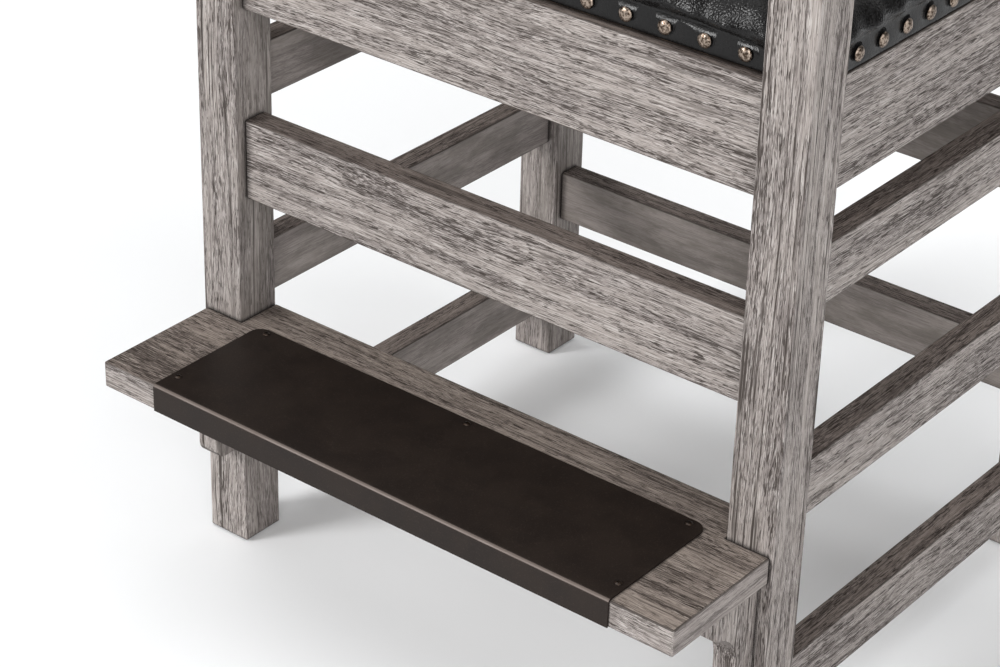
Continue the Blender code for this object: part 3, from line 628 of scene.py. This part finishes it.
def seat_surface(plan, top, cell):
    """The notched top of the seat as a fine grid, drawn from one plane."""
    middle_y = (plan["front"] + plan["rear"]) / 2
    bpy.ops.mesh.primitive_plane_add(size=1, location=(0, middle_y, top))
    seat = new_piece("seat_upholstery")
    seat.scale = (2 * plan["wide"], plan["rear"] - plan["front"], 1)
    settle(seat)
    bpy.ops.object.mode_set(mode="EDIT")
    cuts = [((-plan["narrow"], 0, 0), (1, 0, 0)), ((plan["narrow"], 0, 0), (1, 0, 0)),
            ((0, plan["front_notch"], 0), (0, 1, 0)), ((0, plan["rear_notch"], 0), (0, 1, 0))]
    for place, normal in cuts:
        bpy.ops.mesh.select_all(action="SELECT")
        bpy.ops.mesh.bisect(plane_co=place, plane_no=normal)

    def in_notch(face):
        centre = face.calc_center_median()
        return abs(centre.x) > plan["narrow"] and not (
            plan["front_notch"] < centre.y < plan["rear_notch"])

    pick(seat, "faces", in_notch)
    bpy.ops.mesh.delete(type="FACE")
    for axis in (0, 1):
        spans = set()
        bm = bmesh.from_edit_mesh(seat.data)
        for edge in bm.edges:
            span = abs(edge.verts[0].co[axis] - edge.verts[1].co[axis])
            other = abs(edge.verts[0].co[1 - axis] - edge.verts[1].co[1 - axis])
            if span > other:
                spans.add(round(span, 5))
        for span in sorted(spans):
            if span > 1.5 * cell:
                pick(seat, "edges", lambda edge: abs(
                    abs(edge.verts[0].co[axis] - edge.verts[1].co[axis]) - span) < 1e-4
                    and edge.calc_length() < span + 1e-4)
                bpy.ops.mesh.subdivide(number_cuts=round(span / cell) - 1)
    bpy.ops.object.mode_set(mode="OBJECT")
    return seat


def extrude_rim(piece, steps):
    """Draws the open edge of a pad out, one step after another."""
    bpy.ops.object.mode_set(mode="EDIT")
    pick(piece, "edges", lambda edge: edge.is_boundary)
    for step in steps:
        bpy.ops.mesh.extrude_edges_move(TRANSFORM_OT_translate={"value": step})
    bpy.ops.object.mode_set(mode="OBJECT")


def from_outline(plan, x, y):
    """How far a point of the seat is inside its notched outline, and which way is out."""
    side = math.copysign(1, x)
    x = abs(x)
    ways = []
    for edge, notch, sign in ((plan["front"], plan["front_notch"], -1),
                              (plan["rear"], plan["rear_notch"], 1)):
        inward = (edge - y) * sign
        past = (notch - y) * sign
        if x <= plan["narrow"]:
            ways.append((inward, (0, sign)))
            if past <= 0:
                ways.append((plan["narrow"] - x, (side, 0)))
            else:
                reach = Vector((plan["narrow"] - x, past))
                out = reach.normalized() if reach.length > 0 else Vector((1, 0))
                ways.append((reach.length, (side * out.x, sign * out.y)))
        else:
            ways.append((past, (0, sign)))
    if plan["front_notch"] < y < plan["rear_notch"]:
        ways.append((plan["wide"] - x, (side, 0)))
    distance, out = min(ways, key=lambda way: way[0])
    return max(0.0, distance), Vector((out[0], out[1], 0))


def roll_edges(seat, plan, crease, rim):
    """Rounds the top of the pad over its rim and lets the roll stand out above the band."""
    upholstery = bpy.context.scene.stool_upholstery
    reach = upholstery.roll

    def rule(co, normal):
        distance, out = from_outline(plan, co.x, co.y)
        standing = upholstery.overhang
        if co.z > rim - 0.1 * MM:
            inside = min(1.0, distance / reach)
            drop = reach * (1 - math.sqrt(1 - (1 - inside) ** 2))
            lift = upholstery.crown * smooth(distance / (180 * MM))
            co.z += reach - drop + lift
            return co + out * standing * (1 - inside) ** 1.5
        rise = smooth((co.z - crease) / (rim - crease))
        return co + out * standing * rise

    move_points(seat, rule)


def clear_of_posts(co):
    """Keeps the leather out of the posts and just off them."""
    gap = 0.6 * MM
    side = POST_LOW.x - gap
    for low, high, clear_y in (
            (POST_LOW.y, POST_HIGH.y, POST_HIGH.y + gap),
            (REAR_POST_LOW.y, REAR_POST_HIGH.y, REAR_POST_LOW.y - gap)):
        if abs(co.x) > side and low - gap < co.y < high + gap:
            if abs(co.x) - side < abs(co.y - clear_y):
                co.x = math.copysign(side, co.x)
            else:
                co.y = clear_y
    return co


def smooth(value):
    """Ease from 0 to 1."""
    value = min(1.0, max(0.0, value))
    return value * value * (3 - 2 * value)


def close_pocket(seat, plan, low):
    """Turns the leather in under its lower edge and up to the top of the seat board."""
    lip = 2.0 * MM
    inside = SEAT_BOARD_TOP + 0.4 * MM
    bpy.ops.object.mode_set(mode="EDIT")
    pick(seat, "edges", lambda edge: edge.is_boundary)
    bpy.ops.mesh.extrude_edges_move()
    bm = bmesh.from_edit_mesh(seat.data)
    middle_y = (plan["front"] + plan["rear"]) / 2
    for vertex in bm.verts:
        if vertex.select:
            sign_x = math.copysign(1, vertex.co.x)
            on_wide = abs(abs(vertex.co.x) - plan["wide"]) < 1.5 * MM
            on_narrow = abs(abs(vertex.co.x) - plan["narrow"]) < 0.5 * MM
            on_end = min(abs(vertex.co.y - plan["front"]), abs(vertex.co.y - plan["rear"])) < MM
            on_notch = min(abs(vertex.co.y - plan["front_notch"]),
                           abs(vertex.co.y - plan["rear_notch"])) < 0.5 * MM
            if on_wide or on_narrow:
                vertex.co.x -= sign_x * lip
            if on_end or on_notch:
                vertex.co.y += math.copysign(lip, middle_y - vertex.co.y)
    bmesh.update_edit_mesh(seat.data)
    bpy.ops.mesh.extrude_edges_move(TRANSFORM_OT_translate={"value": (0, 0, inside - low)})
    bpy.ops.object.mode_set(mode="OBJECT")


def cap(piece):
    """Closes a finished shell over its open edge with one flat face."""
    only(piece)
    bpy.ops.object.mode_set(mode="EDIT")
    pick(piece, "edges", lambda edge: edge.is_boundary)
    bpy.ops.mesh.edge_face_add()
    bpy.ops.mesh.select_all(action="SELECT")
    bpy.ops.mesh.normals_make_consistent(inside=False)
    bpy.ops.object.mode_set(mode="OBJECT")


def sculpt_seat(nails):
    """Rule for the seat's edge: a flat nailed band, a drawn-in crease along the front and
    rear, gathers that rise from the nails, and a dent under each nail."""
    upholstery = bpy.context.scene.stool_upholstery
    radius = upholstery.nail_radius
    nail_z = SEAT_LOW.z + upholstery.nail_rise

    def rule(co, normal):
        if abs(normal.z) > 0.90:
            return co
        along_x = abs(normal.x) > abs(normal.y)
        side = ("right" if normal.x > 0 else "left") if along_x else (
            "rear" if normal.y > 0 else "front")
        run = co.y if along_x else co.x
        places, outward = nails[side]
        outward = Vector(outward)
        stations = [place[1] if along_x else place[0] for place in places]
        nearest = min(abs(run - station) for station in stations)
        pitch = abs(stations[1] - stations[0])
        # The crease wavers, and dives down beside the posts.
        end = (max(stations) - min(stations)) / 2 - abs(run - (stations[0] + stations[-1]) / 2)
        dive = 7 * MM * math.exp(-max(0.0, end + 14 * MM) / (14 * MM))
        waver = noise.noise(Vector((run * 26, 3.0 if along_x else 8.0, 2.0)))
        crease = SEAT_LOW.z + upholstery.band + 1.6 * MM * waver - dive
        height = co.z - crease
        # It tucks in sharply under the roll, and eases out down the band.
        drawn = math.exp(-(height / ((3.5 if height > 0 else 13.0) * MM)) ** 2)
        shift = -(0.6 if along_x else 1.0) * MM * drawn * (1.0 + 0.4 * waver)
        # Above the crease the leather gathers between the nails.
        rise = smooth(height / (9 * MM)) * (1 - smooth((height - 8 * MM) / (30 * MM)))
        gather = math.cos(2 * math.pi * nearest / pitch + 0.8 * waver)
        fold = noise.noise(Vector((co.x * 42, co.y * 42, co.z * 18)))
        crinkle = noise.noise(Vector((co.x * 160, co.y * 160, co.z * 110)))
        shift -= 2.0 * MM * rise * gather
        shift += (1.6 * fold + 0.12 * crinkle) * MM * rise
        # Each nail dents the band it sits on.
        from_nail = math.hypot(nearest, co.z - nail_z)
        shift -= 1.5 * MM * math.exp(-(from_nail / (radius * 1.28)) ** 2)
        return clear_of_posts(co + outward * shift)

    return rule


class STOOL_OT_upholster_seat(bpy.types.Operator):
    """Upholsters the seat in leather over foam, with its nailed band"""
    bl_idname = "stool.upholster_seat"
    bl_label = "Upholster Seat"

    def execute(self, context):
        upholstery = context.scene.stool_upholstery
        plan = seat_plan()
        low = SEAT_LOW.z
        crease = low + upholstery.band
        rim = SEAT_HIGH.z - upholstery.roll - 4 * MM
        seat = seat_surface(plan, rim, cell=7 * MM)
        extrude_rim(seat, [(0, 0, (crease - rim) / 5)] * 5 + [(0, 0, (low - crease) / 8)] * 8)
        roll_edges(seat, plan, crease, rim)
        turn_out(seat, Vector((0, 0, 1)))

        def pinned(co):
            return co.z < crease - 0.5 * MM

        def held_out(origin, moved):
            """The roll keeps its overhang: the swelling doesn't draw its edge inwards."""
            distance, out = from_outline(plan, origin.x, origin.y)
            back = min(0.0, (moved - origin).dot(out)) * (1 - smooth(distance / (50 * MM)))
            return clear_of_posts(moved - out * back)

        swell(seat, pressure=4.0, pinned=pinned, limit=9 * MM, hold=held_out)
        close_pocket(seat, plan, low)
        apply_modifier(seat, "SUBSURF", levels=1, render_levels=1)
        move_points(seat, sculpt_seat(seat_nails()))
        cap(seat)
        bpy.ops.object.shade_smooth()
        dress(seat, black_leather())
        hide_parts("seat_cushion")
        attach(seat, BODY)
        return {"FINISHED"}


class STOOL_OT_nail_seat(bpy.types.Operator):
    """Drives a row of hammered nails into each side of the seat"""
    bl_idname = "stool.nail_seat"
    bl_label = "Nail Seat"

    def execute(self, context):
        nail = make_nail("seat_nail")
        finish = old_bronze(NAIL_BRONZE, context.scene.stool_metal.nail, NAIL_ROUGHNESS)
        for side, (places, outward) in seat_nails().items():
            sunk = Vector(outward) * -0.7 * MM
            nail_row("seat_nails_" + side, nail, [Vector(p) + sunk for p in places], outward,
                     finish)
        bpy.data.objects.remove(nail)
        return {"FINISHED"}


# ---------------------------------------------------------------- back pad
def pad_nails():
    """Nail places round the border of the back pad, on its front face."""
    upholstery = bpy.context.scene.stool_upholstery
    inset = upholstery.border / 2
    x0, x1 = PAD_LOW.x + inset, PAD_HIGH.x - inset
    z0, z1 = PAD_LOW.z + inset, PAD_HIGH.z - inset
    across = nail_places(x0, x1, 0, upholstery.nail_pitch)
    upright = nail_places(z0, z1, 0, upholstery.nail_pitch)[1:-1]
    places = [(x, z) for x in across for z in (z0, z1)]
    places += [(x, z) for z in upright for x in (x0, x1)]
    return [Vector((x, PAD_BORDER_Y, z)) for x, z in places]


class STOOL_OT_upholster_back(bpy.types.Operator):
    """Upholsters the back pad, puffed inside a nailed border"""
    bl_idname = "stool.upholster_back"
    bl_label = "Upholster Back"

    def execute(self, context):
        upholstery = context.scene.stool_upholstery
        border = upholstery.border
        centre = (PAD_LOW + PAD_HIGH) / 2
        width, height = PAD_HIGH.x - PAD_LOW.x, PAD_HIGH.z - PAD_LOW.z
        bpy.ops.mesh.primitive_grid_add(x_subdivisions=round(width / (7 * MM)),
                                        y_subdivisions=round(height / (7 * MM)), size=1,
                                        location=(centre.x, PAD_BORDER_Y, centre.z),
                                        rotation=(math.pi / 2, 0, 0))
        pad = new_piece("back_upholstery")
        pad.scale = (width, height, 1)
        settle(pad)

        def depth(co):
            """How far inside the border a point is."""
            return min(co.x - PAD_LOW.x, PAD_HIGH.x - co.x, co.z - PAD_LOW.z,
                       PAD_HIGH.z - co.z) - border

        swell(pad, pressure=3.0, pinned=lambda co: depth(co) < 0, limit=14 * MM)

        def crown(co, normal):
            inside = depth(co)
            if inside <= 0:
                return co
            puff = 1 - math.exp(-inside / (22 * MM))
            co.y = min(co.y, PAD_BORDER_Y - 15 * MM * puff)
            return co

        move_points(pad, crown)
        steps = [step * MM for step in (1.5, 2.0, 4.0, 6.0)]
        steps.append(PAD_HIGH.y - PAD_BORDER_Y - sum(steps))
        extrude_rim(pad, [(0, step, 0) for step in steps])
        turn_out(pad, Vector((0, -1, 0)))
        apply_modifier(pad, "SUBSURF", levels=1, render_levels=1)
        nails = pad_nails()
        radius = upholstery.nail_radius

        def rule(co, normal):
            if normal.y > -0.3:
                return co
            inside = depth(co)
            crease = math.exp(-(inside / (3.0 * MM)) ** 2)
            nearest = min((co.xz - nail.xz).length for nail in nails)
            rise = smooth(inside / (8 * MM)) * (1 - smooth(inside / (34 * MM)))
            wrinkle = noise.noise(Vector((co.x * 60, 4.0, co.z * 60)))
            shift = -2.2 * MM * crease + 0.8 * MM * rise * wrinkle
            shift -= 0.8 * MM * math.exp(-(nearest / (radius * 1.25)) ** 2)
            co.y -= shift
            return co

        move_points(pad, rule)
        cap(pad)
        bpy.ops.object.shade_smooth()
        dress(pad, bpy.data.materials.get(LEATHER) or black_leather())
        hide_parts("back_cushion")
        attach(pad, BODY)

        nail = make_nail("back_nail")
        finish = bpy.data.materials.get(NAIL_BRONZE) or old_bronze(
            NAIL_BRONZE, context.scene.stool_metal.nail, NAIL_ROUGHNESS)
        nail_row("back_nails", nail, [place + Vector((0, 0.5 * MM, 0)) for place in nails],
                 (0, -1, 0), finish)
        bpy.data.objects.remove(nail)
        return {"FINISHED"}


# ---------------------------------------------------------------- frame finishes
class STOOL_OT_finish_wood(bpy.types.Operator):
    """Limes every member of the frame, with the grain along its length"""
    bl_idname = "stool.finish_wood"
    bl_label = "Finish Wood"

    def execute(self, context):
        groups = {"Z": ("uprights", UPRIGHTS), "X": ("cross rails", CROSS_RAILS),
                  "Y": ("side rails", SIDE_RAILS)}
        for axis, (label, names) in groups.items():
            finish = limed_hardwood(f"Limed brushed hardwood, {label}", axis)
            for name in names:
                dress_node(name, finish)
        dress_node("footrest_board",
                   limed_hardwood("Limed brushed hardwood, footrest", "X", board=True))
        timber = raw_timber("Planed poplar, raw", "C4B290", "A68F6B", 60 * MM, 4 * MM)
        plywood = raw_timber("Birch plywood, stained", "5E4A38", "4A3A2D", 90 * MM, 6 * MM)
        for place in UNDERSEAT:
            dress_node("corner_brace_" + place, timber)
        dress_node("seat_board", plywood)
        return {"FINISHED"}


def dress_node(name, material):
    """Gives a carried-over node its finish through its material slots."""
    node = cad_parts[name]
    if not node.material_slots:
        node.data.materials.append(material)
    for material_slot in node.material_slots:
        material_slot.material = material


class STOOL_OT_finish_metal(bpy.types.Operator):
    """Finishes the kick plate, its screws, the seat screws and the glides"""
    bl_idname = "stool.finish_metal"
    bl_label = "Finish Metal"

    def execute(self, context):
        metal = context.scene.stool_metal
        dress_node("kick_plate", bronzed_sheet())
        bronze = old_bronze("Bronzed steel screw", metal.screw, 0.38)
        for name in PLATE_SCREWS:
            dress_node(name, bronze)
        zinc = old_bronze("Zinc-plated steel screw", metal.zinc, 0.34)
        nylon = moulded_nylon()
        for place in UNDERSEAT:
            dress_node("seat_screw_" + place, zinc)
            dress_node("foot_glide_" + place, nylon)
        return {"FINISHED"}


# ---------------------------------------------------------------- stage
def soft_sun(name, towards, angle, strength):
    """A large, far softbox: an even light over the whole floor, with soft shadows."""
    light = bpy.data.lights.new(name, "SUN")
    light.energy = strength
    light.angle = math.radians(angle)
    lamp = bpy.data.objects.new(name, light)
    bpy.context.scene.collection.objects.link(lamp)
    lamp.rotation_euler = (-Vector(towards)).to_track_quat("-Z", "Y").to_euler()


def pale_world():
    """A dark studio with a white wall: the wall is seen, but lights nothing."""
    world = bpy.data.worlds.new("Studio")
    world.use_nodes = True
    tree = world.node_tree
    seen = add(tree, "LightPath", (), "Is Camera Ray")
    strength = add(tree, "Math", (seen, 0.97, 0.01), operation="MULTIPLY_ADD")
    join(tree, tree.nodes["Background"], {"Color": (1, 1, 1, 1), "Strength": strength})
    return world


class STOOL_OT_set_stage(bpy.types.Operator):
    """Lays the floor and sets the lights and the camera"""
    bl_idname = "stool.set_stage"
    bl_label = "Set Stage"

    def execute(self, context):
        stage = context.scene.stool_stage
        bpy.ops.mesh.primitive_plane_add(size=60, location=(0, 0, 0))
        floor = new_piece("studio_floor")
        dress(floor, studio_floor())
        context.scene.world = pale_world()
        soft_sun("overhead", (0, -0.05, 1), 60, 0.85)
        soft_sun("front_left", (-1.9, -3.0, 1.6), 20, 2.38)
        soft_sun("front_right", (2.4, -3.0, 1.6), 40, 1.67)
        soft_sun("right", (3.4, -0.2, 1.8), 50, 1.00)
        soft_sun("overhead_left", (-2.2, -0.4, 3.0), 50, 0.70)
        soft_sun("rear", (0.3, 3.5, 2.4), 50, 0.50)
        context.scene.view_settings.view_transform = "Standard"

        camera = bpy.data.cameras.new("camera")
        camera.lens = stage.lens
        camera.sensor_width = 36.0
        viewer = bpy.data.objects.new("camera", camera)
        context.scene.collection.objects.link(viewer)
        flat = math.cos(stage.elevation)
        back = Vector((math.sin(stage.azimuth) * flat, -math.cos(stage.azimuth) * flat,
                       math.sin(stage.elevation)))
        viewer.rotation_mode = "QUATERNION"
        level = (-back).to_track_quat("-Z", "Y")
        viewer.rotation_quaternion = level @ Matrix.Rotation(
            stage.roll, 3, "Z").to_quaternion()
        viewer.location = Vector(stage.aim) + back * stage.distance
        context.scene.camera = viewer
        return {"FINISHED"}


# ---------------------------------------------------------------- add-on
class STOOL_PT_panel(bpy.types.Panel):
    """Sizes and colours of the stool, with the steps that make it"""
    bl_label = "Bar Stool"
    bl_idname = "STOOL_PT_panel"
    bl_space_type = "VIEW_3D"
    bl_region_type = "UI"
    bl_category = "Bar Stool"

    def draw(self, context):
        layout = self.layout
        groups = (("stool_wood", [STOOL_OT_finish_wood]),
                  ("stool_metal", [STOOL_OT_finish_metal]),
                  ("stool_upholstery", [STOOL_OT_upholster_seat, STOOL_OT_nail_seat,
                                        STOOL_OT_upholster_back]),
                  ("stool_stage", [STOOL_OT_set_stage]))
        for group_name, operators in groups:
            box = layout.box()
            group = getattr(context.scene, group_name)
            for name in group.__annotations__:
                box.prop(group, name)
            for operator in operators:
                box.operator(operator.bl_idname)


SETTINGS = {"stool_wood": StoolWoodSettings, "stool_metal": StoolMetalSettings,
            "stool_upholstery": StoolUpholsterySettings, "stool_stage": StoolStageSettings}
CLASSES = (*SETTINGS.values(), STOOL_OT_finish_wood, STOOL_OT_finish_metal,
           STOOL_OT_upholster_seat, STOOL_OT_nail_seat, STOOL_OT_upholster_back,
           STOOL_OT_set_stage, STOOL_PT_panel)


def register():
    for cls in CLASSES:
        bpy.utils.register_class(cls)
    for name, group in SETTINGS.items():
        setattr(bpy.types.Scene, name, bpy.props.PointerProperty(type=group))


def unregister():
    for name in SETTINGS:
        delattr(bpy.types.Scene, name)
    for cls in reversed(CLASSES):
        bpy.utils.unregister_class(cls)


def main():
    register()
    bpy.ops.stool.finish_wood()
    bpy.ops.stool.finish_metal()
    bpy.ops.stool.upholster_seat()
    bpy.ops.stool.nail_seat()
    bpy.ops.stool.upholster_back()
    bpy.ops.stool.set_stage()


if __name__ == "__main__":
    main()
